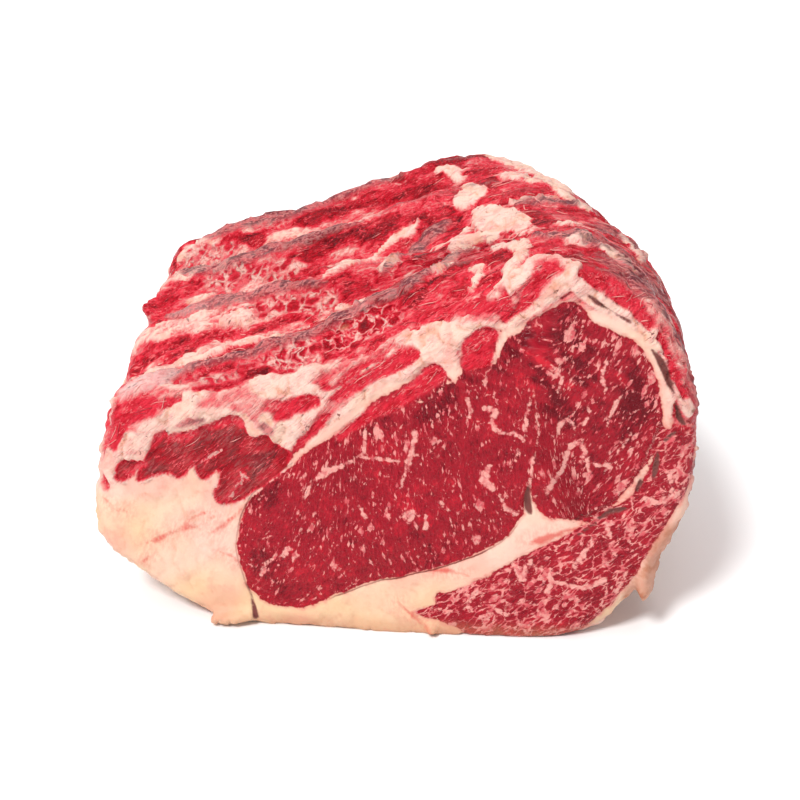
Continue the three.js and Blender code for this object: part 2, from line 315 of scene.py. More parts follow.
TRIM = [
    (-118, 60), (-110, 64), (-104, 72), (-97, 76), (-93, 84), (-88, 88), (-78, 89), (-60, 94), (-50, 88),
    (-38, 80), (-22, 90), (-6, 103), (8, 112), (28, 118), (38, 124), (48, 134), (60, 139), (74, 145),
    (92, 142), (106, 133), (116, 114), (121, 98), (140, 100), (125, 150), (85, 178), (20, 165),
    (-60, 125), (-122, 112),
]
VEINS = [
    [(-74, 73, 0.4), (-71, 75, 0.8), (-68, 77, 0.7), (-64, 79, 0.5)],
    [(-58, 71, 0.4), (-56, 68, 0.9), (-53, 67, 0.4)],
    [(-56, 68, 0.6), (-57, 64, 0.4)],
    [(-66, 57, 0.4), (-61, 59, 0.8), (-60, 62, 0.5), (-58, 65, 0.4)],
    [(-30, 60, 0.6), (-27, 67, 0.8), (-22, 72, 1.3), (-14, 76, 1.0), (-7, 80, 0.9), (-5, 84, 0.7),
     (-5, 92, 0.7)],
    [(-7, 80, 0.6), (0, 80, 0.5), (9, 79, 0.6)],
    [(16, 92, 1.0), (15, 85, 1.2), (13, 77, 1.0), (10, 66, 0.6)],
    [(44, 103, 1.0), (48, 102, 1.3), (47, 97, 1.2), (51, 93, 0.8), (57, 93, 0.9), (60, 90, 0.7)],
    [(37, 107, 0.7), (38, 102, 1.1), (37, 98, 0.6)],
    [(60, 94, 0.9), (61, 101, 1.0), (62, 108, 0.6)],
    [(74, 94, 0.6), (75, 98, 1.1), (78, 100, 1.0), (80, 96, 0.6)],
    [(70, 67, 1.0), (74, 75, 1.2), (77, 80, 0.9), (78, 86, 1.0), (81, 90, 1.3), (85, 87, 1.0),
     (83, 82, 0.9)],
    [(85, 87, 0.9), (87, 78, 0.6)],
    [(73, 73, 0.7), (65, 65, 0.4)],
    [(88, 81, 0.8), (95, 80, 0.9), (93, 77, 0.5)],
    [(47, 79, 0.9), (45, 76, 1.7), (45, 72, 2.0), (48, 69, 1.1)],
    [(51, 66, 0.6), (54, 60, 1.0), (58, 57, 0.7)],
    [(12, 55, 1.1), (15, 57, 1.6), (14, 52, 1.0)],
    [(21, 56, 0.6), (21, 50, 0.8)],
    [(26, 63, 0.6), (31, 58, 0.6)],
    [(58, 86, 0.7), (57, 82, 0.9)],
    [(-37, 38, 1.6), (-40, 34, 0.9), (-45, 32, 0.7), (-48, 28, 0.6), (-49, 23, 0.6)],
    [(76, 141, 0.3), (78.5, 135, 0.7), (78, 128, 0.3)],
    [(92, 124, 0.5), (90, 118, 0.9), (92, 112, 0.5)],
    [(98, 110, 0.5), (95, 104, 0.8), (93, 97, 0.5)],
    [(70, 122, 0.4), (74, 117, 0.7), (73, 111, 0.4)],
    [(84, 108, 0.4), (86, 103, 0.7), (84, 98, 0.5)],
    [(103, 94, 0.5), (100, 88, 0.8), (97, 84, 0.5)],
    [(-20, 47, 0.9), (-17, 52, 0.5)],
    [(-7, 60, 0.6), (-4, 54, 0.8)],
]
CAP_STREAKS = [
    [(38, 12, 0.8), (43, 22, 1.1)],
    [(46, 8, 0.7), (51, 13, 1.0), (56, 11, 0.7)],
    [(58, 34, 1.0), (62, 28, 1.5), (64, 36, 1.0), (68, 32, 0.7)],
    [(69, 34, 0.7), (74, 28, 1.2), (72, 22, 0.8)],
    [(74, 28, 0.9), (86, 25, 1.2), (96, 29, 1.1)],
    [(62, 8, 0.7), (65, 1, 0.9)],
    [(83, 34, 1.0), (88, 43, 1.3), (91, 48, 0.8)],
    [(95, 55, 0.8), (97, 49, 1.2)],
    [(110, 67, 0.8), (115, 64, 1.3), (122, 67, 1.3), (126, 70, 0.9)],
    [(120, 76, 1.0), (121, 69, 0.8)],
    [(105, 33, 0.8), (101, 22, 1.0)],
]
FAT_BANDS = [
    [(-21, 104, 0.7), (-14, 109, 0.8), (-7, 114, 0.7), (1, 117, 0.6), (8, 123, 0.7)],
    [(-36, 106, 1.2), (-30, 106, 1.0), (-23, 105, 1.0)],
    [(18, 105, 0.5), (23, 108, 0.6), (29, 113, 0.6)],
    [(-46, 94, 2.5), (-42, 89, 4.0), (-37, 86, 4.0), (-32, 90, 3.4), (-28, 96, 2.4), (-23, 101, 1.1)],
    [(-51, 104, 1.6), (-40, 104, 2.8), (-32, 105, 2.4), (-24, 106, 1.4)],
    [(-76, 95, 2.2), (-71, 94, 2.6), (-64, 95, 2.2), (-58, 94, 1.7), (-53, 91, 1.2)],
    [(-113, 67, 3.2), (-109, 77, 3.5), (-104, 81, 4.2), (-98, 81, 3.5), (-95, 88, 2.8), (-86, 91, 2.8),
     (-78, 97, 2.0)],
    [(77, 160, 2.2), (75, 155, 3.0), (70, 151, 2.8), (65, 147, 2.2), (60, 142, 1.9), (53, 137, 1.6),
     (50, 131, 1.2), (47, 122, 0.7)],
    [(78, 154, 2.6), (86, 148, 2.8), (94, 143, 3.0), (102, 138.5, 3.0), (107, 134, 2.6)],
    [(107, 133, 1.6), (111, 126, 1.4), (114.5, 117, 1.5), (117, 108, 1.6), (118, 97, 1.4)],
    [(108, 136, 1.6), (113, 130, 1.8), (117.5, 123, 1.8), (120.5, 115, 1.8), (123.5, 106, 1.8),
     (126, 102, 1.8)],
    [(53, 157, 2.0), (58, 159, 3.2), (54, 153, 2.0), (49, 148, 1.3)],
]
STAINS = [
    [(-98, 36, 0.1), (-93, 38, 1.4), (-88, 41, 0.5), (-80, 44, 1.2), (-75, 45, 0.3), (-68, 50, 0.2)],
    [(-84, 43, 0.3), (-77, 49, 0.2), (-70, 52, 0.1)],
    [(-72, 42, 0.2), (-67, 44, 0.8), (-60, 50, 0.3), (-54, 56, 0.2)],
    [(-115, 54, 0.5), (-111, 51, 0.3), (-106, 50, 0.1)],
    [(-66, 34, 0.1), (-61, 32, 0.5), (-59, 30, 0.2)],
    [(-100, 27, 0.1), (-97, 30, 0.4)],
    [(20, 29, 0.1), (29, 30, 0.9), (39, 28, 0.2)],
    [(62, 43, 0.1), (70, 46, 1.6), (84, 52, 0.4)],
    [(10, 14, 0.1), (19, 6, 0.8), (26, 1, 0.5)],
]
SEAM = [(63, 112, 0.15), (66, 95, 0.25), (64, 81, 0.4), (63, 70, 0.7)]
BROWN_GAPS = [
    [(63, 71, 0.4), (62.5, 65, 1.2), (63, 60, 1.5), (64, 57, 0.7)],
    [(82, 54, 0.3), (85, 57, 0.6)],
    [(92, 56, 0.5), (97, 59, 1.1), (103, 61, 0.6)],
    [(84, 48.5, 0.3), (91, 54, 0.5)],
    [(107, 69, 0.7), (108.5, 73, 1.1)],
    [(113.5, 75, 0.7), (114, 80, 1.3), (114.5, 85, 0.6)],
    [(117, 91, 0.7), (121, 94.5, 0.8)],
    [(121, 105, 0.5), (122.5, 100, 0.9), (125, 97, 0.4)],
    [(109.3, 128.5, 0.4), (112.8, 124, 1.3), (115.9, 118, 1.5), (118.8, 111, 0.5)],
    [(-53.5, 14, -0.3), (-52.8, 11, 0.5), (-52, 7.5, 1.0), (-51.4, 4.5, 0.9)],
]
THIN_CRACKS = [
    [(83, 149.5, 0.3), (86, 147.5, 0.7), (90, 145, 0.3), (95, 142, 0.2), (100, 139.5, 0.5)],
    [(-57, 24, -0.2), (-56, 20, 0.1), (-54.5, 16.5, 0.2), (-53, 13, 0.5)],
]


def smooth_line(points, closed=False, steps=4):
    """The points of a smooth line through the given ones."""
    p = np.array(points, float)
    ends = (p[-1:], p[:2]) if closed else (2 * p[:1] - p[1:2], 2 * p[-1:] - p[-2:-1])
    p = np.vstack([ends[0], p, ends[1]])
    t = np.arange(steps)[:, None] / steps
    spans = [
        0.5 * (2 * b + (c - a) * t + (2 * a - 5 * b + 4 * c - d) * t**2 + (3 * b - a - 3 * c + d) * t**3)
        for a, b, c, d in zip(p[:-3], p[1:-2], p[2:-1], p[3:])
    ]
    return np.vstack(spans if closed else [*spans, p[-2:-1]])


def stroke_depth(where, path):
    """How far inside a stroke each place is: a path whose last number is half its width."""
    line = smooth_line(path)
    depth = np.full(len(where), -99.0)
    for a, b in zip(line[:-1], line[1:]):
        span = b[:-1] - a[:-1]
        share = np.clip((where - a[:-1]) @ span / max(span @ span, 1e-9), 0, 1)
        gap = np.linalg.norm(where - a[:-1] - share[:, None] * span, axis=1)
        depth = np.maximum(depth, a[-1] + share * (b[-1] - a[-1]) - gap)
    return depth


def strokes_depth(where, paths):
    return np.max([stroke_depth(where, path) for path in paths], axis=0)


def outline_depth(where, outline):
    """How far inside a smooth closed outline each place is, less than 0 outside it."""
    line = smooth_line(outline, closed=True)
    gap = np.full(len(where), 99.0)
    inside = np.zeros(len(where), bool)
    for a, b in zip(line, np.roll(line, -1, axis=0)):
        span = b - a
        share = np.clip((where - a) @ span / max(span @ span, 1e-9), 0, 1)
        gap = np.minimum(gap, np.linalg.norm(where - a - share[:, None] * span, axis=1))
        crosses = (a[1] > where[:, 1]) != (b[1] > where[:, 1])
        rise = span[1] if abs(span[1]) > 1e-9 else 1e-9
        inside ^= crosses & (where[:, 0] < a[0] + (where[:, 1] - a[1]) * span[0] / rise)
    return np.where(inside, gap, -gap)


FRONT_MIDDLE = (28, 75)
REAR_MIDDLE = (0, 76)
REAR_SCALE = 0.85
STEEPEST = 0.6
FAR_OFF = 9

at_rear = (rear > 0) & (facing[:, 1] > -STEEPEST)
at_cut = (front > 0) & (facing[:, 1] < STEEPEST) | at_rear
cut_place = np.column_stack([x, z])
cut_place[at_rear] = (cut_place[at_rear] - REAR_MIDDLE) / REAR_SCALE + FRONT_MIDDLE


def on_cut(measure, shape):
    """A depth taken only on the two cuts, and far outside everywhere else."""
    result = np.full(len(place), -float(FAR_OFF))
    result[at_cut] = measure(cut_place[at_cut], shape)
    return np.clip(result, -FAR_OFF, FAR_OFF)


edge_wander = 0.6 * unevenness(5, 7.0) + 0.35 * unevenness(2.4, 8.0)

eye_depth = on_cut(outline_depth, EYE)
cap_depth = on_cut(outline_depth, CAP)
lip_depth = on_cut(outline_depth, LIP_MEAT)
strip_depth = on_cut(strokes_depth, RED_STRIPS)
vein_depth = on_cut(strokes_depth, VEINS + CAP_STREAKS)
seam_depth = on_cut(stroke_depth, SEAM)
cut_gap = on_cut(strokes_depth, BROWN_GAPS)
cut_crack = on_cut(strokes_depth, THIN_CRACKS)
vein_depth = np.maximum(vein_depth - 0.1, seam_depth)
trim_depth = on_cut(outline_depth, TRIM)
band_depth = np.maximum(on_cut(strokes_depth, FAT_BANDS), on_cut(outline_depth, NECK_FAT))
lobes_depth = on_cut(strokes_depth, EYE_LOBES)
eye_dark = on_cut(strokes_depth, EYE_DARK)
film_depth = on_cut(strokes_depth, PINK_FILMS)
bright_depth = on_cut(strokes_depth, LIP_BRIGHT)
dark_depth = on_cut(strokes_depth, LIP_DARK)
dry_depth = on_cut(strokes_depth, DRY_FILMS)
RISE = math.radians(42)
run_along = x * math.cos(RISE) + z * math.sin(RISE)
run_across = z * math.cos(RISE) - x * math.sin(RISE)
run_streaks = waves(np.column_stack([run_across / 3.6, run_along / 16, y / 9]))
in_trim = np.maximum(ease(-2, 1, trim_depth) * (1 - ease(-1, 1, eye_depth)), ease(-1.5, -0.5, lip_depth))
in_trim = np.maximum(in_trim, ease(-1.4, 0.4, lobes_depth + edge_wander))
lobes_depth = lobes_depth + 1.2 * unevenness(3.2, 92.0)
strip_depth = strip_depth + 0.9 * unevenness(3.2, 93.0)
cut_lean = np.max([eye_depth, cap_depth, lip_depth], axis=0)
cut_lean = np.maximum(np.minimum(cut_lean, -band_depth), strip_depth) + edge_wander

# The rib side, between and over the strips, and the chine side beyond it. Strokes are read across and along
# the roast, and their third number is half their width. Each kind has its own redness, from -3 for bare fat
# through 0 for pink films to 3 for the deepest red.
PALE_STROKES = [
    [(-61, -92, 3), (-50, -90, 4), (-38, -91, 5), (-26, -93, 3)],
    [(-99, -72, 3), (-78, -67, 5), (-56, -60, 6), (-39, -52, 5), (-12, -54, 3)],
    [(-91, -45, 2.5), (-75, -43, 3), (-55, -41, 3.5), (-40, -39, 2.5), (-28, -39, 1.5)],
    [(-113, -22, 4.5), (-99, -25, 5), (-84, -25, 4.5), (-69, -25, 3), (-63, -31, 1.5)],
    [(-116, 38, 3), (-104, 36, 4), (-88, 40, 4), (-60, 44, 4), (-34, 42, 3)],
    [(-122, 72, 2), (-116, 69, 2), (-101, 63, 1.5)],
    [(-116, 78, 4), (-103, 72, 3), (-84, 63, 1.5), (-68, 59, 1.2), (-58, 56, 1.5), (-41, 58, 1)],
    [(-31, -20, 1.5), (-19, -18, 2.5), (-8, -14, 2)],
    [(-17, -90, 1), (-5, -89, 1.5), (3, -84, 1.5)],
    [(-112, -86, 1), (-101, -90, 0.8), (-84, -92, 0.8), (-69, -90, 0.8)],
    [(-57, -88, 0.8), (-37, -84, 0.8), (-24, -86, 0.8)],
    [(50, 1, 2), (63, 6, 1.2), (70, 11, 1)],
    [(75, -56, 2.5), (80, -55, 3.5)],
    [(62, 30, 4), (69, 36, 5)],
    [(20, -50, 1.2), (27, -38, 2), (33, -30, 1.6)],
    [(44, 43, 4), (54, 36, 5)],
    [(110, -91, 2.5), (118, -92, 3), (128, -93, 3)],
]
CREAM_STROKES = [
    [(-99, -98, 4), (-88, -96, 5), (-78, -95, 5), (-57, -95, 4)],
    [(-22, -38, 1.5), (-14, -44, 3.5), (-9, -50, 3)],
    [(11, -83, 2.5), (22, -85, 3.5), (31, -89, 3.5)],
    [(-13, 3, 1.5), (-4, 9, 2), (2, 12, 2.5), (5, 15, 1)],
    [(-3, -27, 3), (1, -27, 2)],
    [(14, 66, 2.5), (21, 63, 4), (26, 55, 2.5)],
    [(29, 40, 3.5), (32, 27, 6.5), (28, 22, 4.5), (25, 21, 1.5)],
    [(34, 11, 1.5), (39, 0, 5), (43, -10, 8), (49, -20, 9), (56, -30, 4.5)],
    [(42, -24, 4.5), (44, -32, 3)],
    [(25, -32, 1.5), (28, -27, 4), (32, -24, 5), (37, -28, 3)],
    [(47, -42, 2.5), (54, -52, 4.5), (57, -62, 3.4), (54, -74, 2.8), (50, -84, 2.2)],
    [(62, -78, 1.2), (67, -79, 1.8), (73, -82, 2.4), (77, -83, 1.8)],
    [(76, -86, 2.4), (84, -89, 2), (93, -90, 1.5)],
    [(37, -60, 1.5), (40, -61, 1), (37, -66, 1), (37, -73, 0.8)],
    [(86, -56, 1.2), (91, -59, 2.6), (96, -62, 3), (99, -66, 1.5)],
    [(38, 80, 5), (44, 75, 7), (53, 70, 7), (62, 55, 6), (70, 30, 5), (76, 14, 4), (83, 4, 3.5)],
    [(98, -18, 1.5), (102, -28, 2.6), (106, -38, 1.8)],
    [(-102, 17, 1.2), (-95, 17, 2), (-88, 16, 1.5)],
]
RED_STROKES = [
    [(-112, -41, 4.5), (-111, -35, 5), (-101, -37, 3.5), (-90, -38, 3), (-81, -37, 2)],
    [(-61, -33, 1.5), (-51, -34, 2), (-40, -36, 2), (-34, -37, 1.5)],
    [(-125, 24, 3.5), (-119, 29, 4.5), (-109, 21, 1.5)],
    [(-110, 29, 2.5), (-95, 27, 1.5)],
    [(-18, -30, 3), (-9, -31, 3.5), (-1, -33, 3), (1, -38, 1.5)],
    [(4, -74, 3.5), (13, -70, 4), (20, -66, 4), (27, -64, 5)],
    [(-43, 73, 4.5), (-24, 71, 2)],
    [(-110, -92, 2.5), (-103, -93, 2.5), (-93, -93, 1.5), (-81, -94, 1)],
    [(-7, 66, 4), (10, 63, 3.5)],
    [(54, 23, 4.5), (61, 19, 5)],
    [(76, -5, 6), (80, -4, 4.5)],
    [(64, -64, 6), (70, -66, 7), (75, -68, 6.5)],
    [(84, -74, 6), (90, -71, 5), (85, -82, 3)],
    [(80, -80, 2.5), (88, -80, 3.5), (96, -83, 3.5), (104, -84, 3)],
    [(24, -65, 4.5), (33, -67, 4.5), (40, -70, 5)],
    [(20, -79, 2), (30, -80, 3.5), (41, -86, 3)],
    [(63, -84, 2.5), (66, -86, 2)],
    [(-87, -84, 3), (-74, -83, 4), (-60, -80, 3)],
    [(-66, 16, 1.5), (-47, 15, 1.5), (-35, 14, 1.5)],
]
DEEP_STROKES = [
    [(-54, 62, 2.5), (-41, 63, 3), (-26, 63, 2.5), (-11, 60, 3), (5, 58, 3), (17, 52, 4)],
    [(-53, 22, 2.5), (-39, 22, 3.5), (-24, 21, 3.5), (-12, 18, 4.5), (-3, 19, 4), (14, 12, 3), (26, 5, 5)],
    [(-94, 70, 2), (-85, 66, 2), (-74, 61, 1.5)],
    [(37, 40, 4), (42, 28, 3), (47, 27, 3)],
    [(54, -8, 4), (61, -23, 4.5), (59, -31, 3.5)],
    [(75, -77, 3.5), (90, -82, 3), (96, -83, 2)],
    [(-76, -91, 0.8), (-67, -88, 1.6), (-58, -86, 1.8), (-47, -85, 1.5), (-37, -85, 1)],
    [(-40, -27, 4), (-23, -28, 4)],
    [(-2, -62, 3), (8, -62, 3)],
]
SILVERSKIN = [
    [(-106, -83, 5.5), (-95, -82, 6), (-83, -79, 4.5), (-71, -77, 2.5), (-60, -75, 3), (-47, -71, 3.5),
     (-35, -66, 4.5),
     (-20, -62, 4.5), (-6, -59, 5), (6, -58, 4), (14, -54, 3.5), (20, -48, 3)],
    [(-118, 14, 1.5), (-110, 0, 4), (-97, -12, 6), (-83, -13, 6), (-70, -14, 5), (-54, -16, 4.5),
     (-42, -20, 3), (-30, -25, 1.5)],
    [(-120, 60, 2), (-108, 42, 4), (-95, 33, 4.5), (-78, 29, 4.5), (-60, 29, 4.5), (-45, 29, 4),
     (-33, 29, 3.5), (-20, 27, 2.5)],
    [(-104, 80, 4), (-85, 74, 4), (-67, 71, 4.5), (-51, 71, 4.5), (-34, 71, 4), (-20, 72, 3),
     (-5, 72, 2.5)],
    [(-2, -30, 3), (4, -18, 4), (9, -3, 6), (14, 5, 6), (20, 9, 4)],
    [(61, -47, 2), (70, -51, 4), (78, -50, 4), (85, -55, 5), (91, -58, 4)],
    [(97, -60, 4), (103, -69, 7), (108, -77, 7), (113, -82, 6), (118, -84, 5), (123, -85, 4),
     (128, -86, 2.5)],
    [(54, -1, 3), (63, 2, 3.5), (72, 3, 3.5), (79, 2, 2.5)],
    [(22, -41, 2), (28, -38, 3), (34, -37, 3)],
]
GROOVES = [
    [(30, -31, 0.8), (42, -36, 1.4), (54, -40, 1.0), (64, -40, 0.6)],
    [(38, 8, 0.8), (52, 3, 1.2), (64, -6, 0.8)],
    [(-87, -93, 0.6), (-76, -91, 1.0), (-60, -88, 1.0), (-46, -86, 0.8)],
    [(66, -71, 1.2), (74, -72, 1.4), (82, -68, 0.8)],
]
COMBS = [
    (2.3, [(-59, -80), (-51, -77), (-43, -74), (-35, -69), (-29, -72), (-27, -83), (-37, -84), (-48, -82)]),
    (3.4, [(-26, -73), (-19, -66), (-10, -64), (0, -63), (7, -64), (7, -72), (0, -75), (-9, -78),
           (-21, -79)]),
    (2.0, [(-68, -23), (-60, -21), (-49, -21), (-34, -25), (-24, -29), (-22, -36), (-31, -36),
           (-45, -31), (-59, -28)]),
    (1.6, [(-95, 28), (-82, 26), (-67, 23), (-48, 20), (-41, 15), (-57, 11), (-71, 13), (-86, 16),
           (-94, 23)]),
    (1.6, [(-93, -86), (-83, -84), (-73, -84), (-58, -82), (-58, -86), (-68, -88), (-76, -91), (-86, -91)]),
    (1.2, [(-116, 74), (-107, 75), (-90, 66), (-80, 58), (-90, 56), (-106, 62), (-118, 68)]),
]

# The torn meat is made of small lobes, drawn out along its strands. Each has a redness of its own, and its
# neighbours meet it in a crease. Strands run along the ribs, and down and a little back on the chine side.
LOBES = 1300
LOBES_APART = (0, 0, 400)
GIRTH_RADIUS = 110
CREASE_WIDTH = 0.8

lobe_chance = np.random.default_rng(7)
strands = np.column_stack([50 * rib_place, 0.2 * run_along, 0.9 * run_across])
girth = np.radians((around + 90) % 360) * GIRTH_RADIUS
chine_strands = np.column_stack([0.22 * girth, y + 0.2 * girth, 0.6 * np.hypot(x, z - CORE_HEIGHT)])
lobe_place = np.where((chine_side > 0.5)[:, None], chine_strands + LOBES_APART, strands * (1.0, 1.5, 1.0))
lobe_place = lobe_place + 1.6 * np.column_stack([unevenness(7, shift) for shift in (81.0, 82.0, 83.0)])
seeds = lobe_chance.choice(len(place), LOBES, replace=False)
lobe_tree = KDTree(LOBES)
for number, seed in enumerate(seeds):
    lobe_tree.insert(lobe_place[seed], number)
lobe_tree.balance()
nearest = [lobe_tree.find_n(spot, 2) for spot in lobe_place.tolist()]
own_redness = lobe_chance.normal(0, 1, LOBES)[[first[1] for first, _ in nearest]]
lobe_edge = np.array([second[2] - first[2] for first, second in nearest]) / 2
lobe_crease = np.exp(-((lobe_edge / CREASE_WIDTH) ** 2))

# How red the meat is at each place: streaks and patches between the rib marks and on the chine side, then
# the strokes over them, and on the trimmed edge of the front cut its own bands and films.
straying = 3.0 * np.column_stack([unevenness(14, 61.0), unevenness(14, 62.0)])
straying += 1.5 * np.column_stack([unevenness(5, 63.0, (2, 1, 1)), unevenness(5, 64.0, (2, 1, 1))])
ribs_place = np.column_stack([x, y]) + straying
streaks = unevenness(5, 1.0, (7, 1, 1.5)) + 0.5 * unevenness(2.4, 5.0, (6, 1, 1.5))
patches = unevenness(17, 9.0)
lumps = 1.3 * unevenness(5, 2.0, (1.6, 1, 1)) + 0.9 * unevenness(2.2, 3.0)
towards_chine = ease(-25, 35, x)
PROFILE = [
    (0, 0.8), (0.08, -0.8), (0.2, -1.6), (0.4, -0.6), (0.55, 0.9), (0.68, 0.1), (0.8, 0.2), (0.92, 0.8),
    (1, 0.8),
]
between_profile = np.interp(rib_phase, *zip(*PROFILE))
rib_lean = between_profile + 1.5 * streaks + 0.9 * patches + 1.1 * towards_chine + 1.0 * own_redness
chine_streaks = unevenness(6, 4.0, (3, 1, 3)) + 0.5 * unevenness(2.6, 6.0, (3, 1, 3))
chine_lean = 1.1 + 1.5 * chine_streaks + 0.9 * patches + 1.1 * own_redness
fat_lean = -2.8 + 2.2 * unevenness(26, 12.0) + 0.8 * unevenness(6, 13.0)
mantle_lean = rib_lean * (1 - chine_side) + chine_lean * chine_side
for redness, softness, strokes in (
    (-2.2, 2.4, PALE_STROKES),
    (1.4, 2.0, RED_STROKES),
    (2.7, 2.4, DEEP_STROKES),
    (-3.0, 1.0, CREAM_STROKES),
):
    covered = ease(-softness, 0.6, strokes_depth(ribs_place, strokes) + lumps)
    mantle_lean += (redness + 0.7 * streaks + 0.6 * own_redness * (redness > -2.5) - mantle_lean) * covered
mantle_lean += 1.1 * lobe_crease * ease(-2.4, -1.4, mantle_lean) - 0.2
mantle_lean = mantle_lean * (1 - fat_side) + fat_lean * fat_side
mantle = 1 - np.maximum(front, rear)
hanging_flap = ease(103, 105, x) * ease(56, 51, z) * ease(-74, -80, y) * ease(0.2, -1, cap_depth)
mantle_lean += (-2.8 - mantle_lean) * hanging_flap
pale_ends = ease(-74, -98, x) * ease(10, -60, y)
trim_lean = -1.0 + 2.0 * run_streaks + 0.8 * own_redness + 0.8 * ease(34, 58, x) + 0.8 * ease(-98, -108, x)
trim_lean += (-3.0 - trim_lean) * ease(-5, -2, lip_depth)
for redness, depth in (
    (-0.7, film_depth),
    (1.5 + patches, lobes_depth),
    (-2.9, band_depth),
    (1.4, strip_depth),
    (2.9 + 1.0 * patches + 0.5 * own_redness, lip_depth),
    (0.8, bright_depth),
    (3.6, dark_depth),
    (-0.6, dry_depth),
):
    trim_lean += (redness + 0.6 * run_streaks - trim_lean) * ease(-0.9, 0.5, depth + edge_wander)
torn_cut = (1 - mantle) * in_trim
lean = np.clip(cut_lean, -4, 4) * (1 - mantle) + np.clip(mantle_lean, -4, 4) * mantle
lean += (trim_lean - lean) * torn_cut

# What covers the meat there: grey silverskin on the strips and the chine side, and the honeycomb that the
# ribs' underside leaves in front of each strip, with darker pits in some places than in others.
on_ribs = mantle * (1 - chine_side) * (1 - fat_side)
strip_gap = strokes_depth(ribs_place - 0.6 * straying, SILVERSKIN)
painted_shadow_under_strip = ease(-4.0, -2.6, strip_gap) * ease(-1.2, -2.0, strip_gap) * (rib_phase > 0.5) * on_ribs
pale_line = ease(-2.2, -1.6, strip_gap) * ease(-0.4, -1.0, strip_gap) * (rib_phase > 0.5) * on_ribs
# Painted shadow: a band of meat in front of each raised strip is painted redder and darker, as the strip's
# shade.
lean += 1.8 * painted_shadow_under_strip * ease(-0.4, 0.2, unevenness(16, 76.0))
lean -= 2.6 * pale_line * ease(-0.2, 0.2, unevenness(12, 77.0))
strip_cover = strip_gap - 1.0 + 1.3 * streaks + 0.7 * patches
silver = mantle * (1 - fat_side) * ease(-1.2, 1.0, strip_cover)
silver = np.maximum(silver, 0.8 * (1 - mantle) * ease(-0.8, 0.4, dry_depth + edge_wander))
lip_film = ease(-0.5, 2.0, lip_depth + edge_wander) * (1 - ease(-0.5, 0.5, bright_depth))
silver = np.maximum(silver, (1 - mantle) * lip_film * np.clip(0.22 + 0.3 * unevenness(9, 91.0), 0, 0.45))
film_spread = unevenness(13, 21.0, (2.5, 1, 2.5)) + 0.5 * unevenness(4, 22.0, (3, 1, 3)) + 0.1 * own_redness
film_spread += 0.4 * ease(0, -45, y) * ease(98, 110, x) * ease(85, 105, z)
silver_chine = mantle * chine_side * (1 - fat_side) * ease(0.0, 0.22, film_spread)
silver = np.maximum(silver, 0.85 * silver_chine * ease(74, 94, x))
strip_ends = ease(0.93, 1, rib_phase + 0.04 * streaks) * (x > -30)
silver = np.maximum(silver, 0.8 * on_ribs * strip_ends)
# Painted shade: the sunk grooves of the torn side are painted darker.
painted_groove_shade = np.clip(strokes_depth(ribs_place, GROOVES) + 0.5, 0, 1) * mantle * (facing[:, 2] > 0)
honeycomb = np.zeros(len(place))
pit = np.zeros(len(place))
for redness, outline in COMBS:
    share = ease(-2.0, 1.0, outline_depth(ribs_place, outline) + lumps)
    honeycomb = np.maximum(honeycomb, share)
    pit += redness * share
honeycomb *= mantle * (1 - fat_side)

# The relief of the skin: grooves where muscles meet fat, pits in the honeycomb, raised silverskin, fat that
# stands in soft lumps, and the coarser grain of torn places.
relief = 0.5 * unevenness(9, 31.0) + 0.2 * unevenness(3.2, 32.0)
relief += mantle * (0.9 * unevenness(11, 33.0) + 0.35 * unevenness(4, 34.0))
relief += torn_cut * np.where(lean < 0, 0.9, -0.5) + 0.8 * in_trim * unevenness(5, 36.0)
relief += on_ribs * 1.1 * streaks - 1.2 * honeycomb * (0.5 + unevenness(3, 35.0))
relief += 0.9 * mantle * ease(-1.5, -2.6, mantle_lean) * (1 + 0.5 * unevenness(3.5, 37.0))
relief += np.where(lean < 0, 0.45 * (1 - np.exp(lean / 1.5)), 0.25 * (1 - np.exp(-lean / 1.5)))
relief -= 0.5 * np.exp(-((lean / 1.1) ** 2))
relief += 1.5 * mantle * ease(-0.6, 1.2, strip_cover) - 0.8 * painted_shadow_under_strip
lip_fat = (1 - mantle) * ease(-2, -6, np.maximum(cut_lean, trim_depth))
creases = np.exp(-((unevenness(13, 71.0) + 0.5 * unevenness(6, 72.0)) / 0.06) ** 2)
all_torn = np.maximum(mantle, in_trim)
creases *= np.maximum(0.4 * lip_fat, ease(-1.8, -2.7, lean) * all_torn)
relief += lip_fat * 0.9 * unevenness(8, 73.0) - 1.1 * creases
fat_lumps = 1.2 * unevenness(7, 74.0) + 0.6 * unevenness(3.4, 75.0)
relief += ease(-1.6, -2.6, lean) * all_torn * fat_lumps
relief -= 1.0 * np.clip(cut_gap + 0.6, 0, 2) + 0.8 * np.clip(cut_crack + 0.8, 0, 1.2)
relief -= 1.0 * painted_groove_shade
lobed = np.maximum(mantle * (1 - fat_side) * (1 - honeycomb), 0.6 * torn_cut) * ease(-2.6, -1.2, lean)
relief += lobed * (0.5 - 1.3 * lobe_crease)


def furrowed(middle, reach, way, width, length, rim):
    """The knife's furrows on one part of the eye, long along the way they run."""
    over, along = way
    across_them, along_them = (x * over + z * along) / width, (z * over - x * along) / length
    grooves = waves(np.column_stack([across_them, along_them, y / 9]))
    near = np.exp(-(((x - middle[0]) / reach[0]) ** 2) - ((z - middle[1]) / reach[1]) ** 2)
    return grooves * (1 - mantle) * ease(0, rim, eye_depth) * near


furrows = furrowed((8, 50), (42, 26), (0.75, 0.66), 2.6, 17, 5)
top_furrows = furrowed((66, 118), (34, 16), (0.5, 0.87), 2.8, 14, 4)
relief += 0.35 * furrows + 0.9 * top_furrows
place = place + facing * relief[:, None]
place[:, 2] = np.maximum(place[:, 2], 0)
put_points(skin, place)
skin.polygons.foreach_set("use_smooth", [True] * len(skin.polygons))

